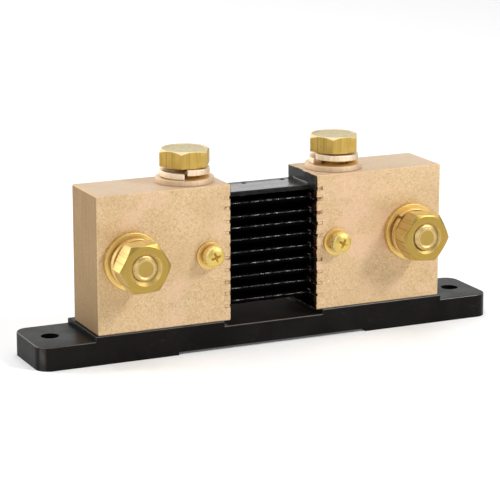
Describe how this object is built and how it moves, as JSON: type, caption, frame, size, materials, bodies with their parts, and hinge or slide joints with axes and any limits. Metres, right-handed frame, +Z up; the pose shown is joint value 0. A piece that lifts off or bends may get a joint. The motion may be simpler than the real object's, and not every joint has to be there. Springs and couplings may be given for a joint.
{
  "type": "battery monitor shunt",
  "caption": "Current shunt: two brass terminal blocks on a black moulded base, bridged by stacked resistance blades, with bolt terminals and small sense screws.",
  "frame": {"origin": "on the underside of the feet, midway between the two mounting holes", "axes": "+X along the base, from the left block to the right block; +Z up, out of the mounting holes; -Y towards the nuts at the front"},
  "size_m": [0.18, 0.0464, 0.0731],
  "materials": {
    "base_plastic": "black moulded phenolic, half gloss",
    "block_brass": "pale tumbled brass with fine speckle",
    "hardware_brass": "bright turned brass",
    "spring_steel": "pale plated spring steel",
    "blade_paint": "gloss black paint on manganin sheet",
    "braze_metal": "reddish braze in the saw cuts",
    "fixing_steel": "zinc plated screws"
  },
  "bodies": {
    "root": {"base": "base_plastic", "base_fixing_screws": "fixing_steel", "base_fixing_washers": "fixing_steel", "blade_01": "blade_paint", "blade_02": "blade_paint", "blade_03": "blade_paint", "blade_04": "blade_paint", "blade_05": "blade_paint", "blade_06": "blade_paint", "blade_07": "blade_paint", "blade_08": "blade_paint", "blade_09": "blade_paint", "blade_10": "blade_paint", "left_block": "block_brass", "left_braze": "braze_metal", "left_terminal_bolt": "hardware_brass", "left_terminal_rear_washer": "hardware_brass", "right_block": "block_brass", "right_braze": "braze_metal", "right_terminal_bolt": "hardware_brass", "right_terminal_rear_washer": "hardware_brass"},
    "left_nut_washers": {"left_terminal_flat_washer": "hardware_brass", "left_terminal_spring_washer": "spring_steel"},
    "left_nut": {"left_terminal_nut": "hardware_brass"},
    "left_top_bolt_washers": {"left_top_flat_washer": "hardware_brass", "left_top_spring_washer": "spring_steel"},
    "left_top_bolt": {"left_top_bolt": "hardware_brass"},
    "left_sense_screw_washers": {"left_sense_washer": "hardware_brass", "left_sense_spring_washer": "spring_steel"},
    "left_sense_screw": {"left_sense_screw": "hardware_brass"},
    "right_nut_washers": {"right_terminal_flat_washer": "hardware_brass", "right_terminal_spring_washer": "spring_steel"},
    "right_nut": {"right_terminal_nut": "hardware_brass"},
    "right_top_bolt_washers": {"right_top_flat_washer": "hardware_brass", "right_top_spring_washer": "spring_steel"},
    "right_top_bolt": {"right_top_bolt": "hardware_brass"},
    "right_sense_screw_washers": {"right_sense_washer": "hardware_brass", "right_sense_spring_washer": "spring_steel"},
    "right_sense_screw": {"right_sense_screw": "hardware_brass"}
  },
  "joints": [
    {"name": "left_nut_travel", "type": "slide", "parent": "root", "child": "left_nut_washers", "axis": [0, -1, 0], "range_m": [0, 0.009]},
    {"name": "left_nut_turn", "type": "hinge", "parent": "left_nut_washers", "child": "left_nut", "pos_m": [-0.0553, -0.014, 0.0365], "axis": [0, -1, 0], "range_deg": [0, 2160]},
    {"name": "left_top_bolt_travel", "type": "slide", "parent": "root", "child": "left_top_bolt_washers", "axis": [0, 0, 1], "range_m": [0, 0.018]},
    {"name": "left_top_bolt_turn", "type": "hinge", "parent": "left_top_bolt_washers", "child": "left_top_bolt", "pos_m": [-0.0297, -0.002, 0.0605], "axis": [0, 0, 1], "range_deg": [0, 4320]},
    {"name": "left_sense_screw_travel", "type": "slide", "parent": "root", "child": "left_sense_screw_washers", "axis": [0, -1, 0], "range_m": [0, 0.007]},
    {"name": "left_sense_screw_turn", "type": "hinge", "parent": "left_sense_screw_washers", "child": "left_sense_screw", "pos_m": [-0.0252, -0.014, 0.0357], "axis": [0, -1, 0], "range_deg": [0, 3600]},
    {"name": "right_nut_travel", "type": "slide", "parent": "root", "child": "right_nut_washers", "axis": [0, -1, 0], "range_m": [0, 0.009]},
    {"name": "right_nut_turn", "type": "hinge", "parent": "right_nut_washers", "child": "right_nut", "pos_m": [0.0553, -0.014, 0.0365], "axis": [0, -1, 0], "range_deg": [0, 2160]},
    {"name": "right_top_bolt_travel", "type": "slide", "parent": "root", "child": "right_top_bolt_washers", "axis": [0, 0, 1], "range_m": [0, 0.018]},
    {"name": "right_top_bolt_turn", "type": "hinge", "parent": "right_top_bolt_washers", "child": "right_top_bolt", "pos_m": [0.0297, -0.002, 0.0605], "axis": [0, 0, 1], "range_deg": [0, 4320]},
    {"name": "right_sense_screw_travel", "type": "slide", "parent": "root", "child": "right_sense_screw_washers", "axis": [0, -1, 0], "range_m": [0, 0.007]},
    {"name": "right_sense_screw_turn", "type": "hinge", "parent": "right_sense_screw_washers", "child": "right_sense_screw", "pos_m": [0.0252, -0.014, 0.0357], "axis": [0, -1, 0], "range_deg": [0, 3600]}
  ],
  "couplings": [
    {"joint": "left_nut_turn", "follows": "left_nut_travel", "rad_per_m": 4188.8},
    {"joint": "left_top_bolt_turn", "follows": "left_top_bolt_travel", "rad_per_m": 4188.8},
    {"joint": "left_sense_screw_turn", "follows": "left_sense_screw_travel", "rad_per_m": 8976},
    {"joint": "right_nut_turn", "follows": "right_nut_travel", "rad_per_m": 4188.8},
    {"joint": "right_top_bolt_turn", "follows": "right_top_bolt_travel", "rad_per_m": 4188.8},
    {"joint": "right_sense_screw_turn", "follows": "right_sense_screw_travel", "rad_per_m": 8976}
  ]
}
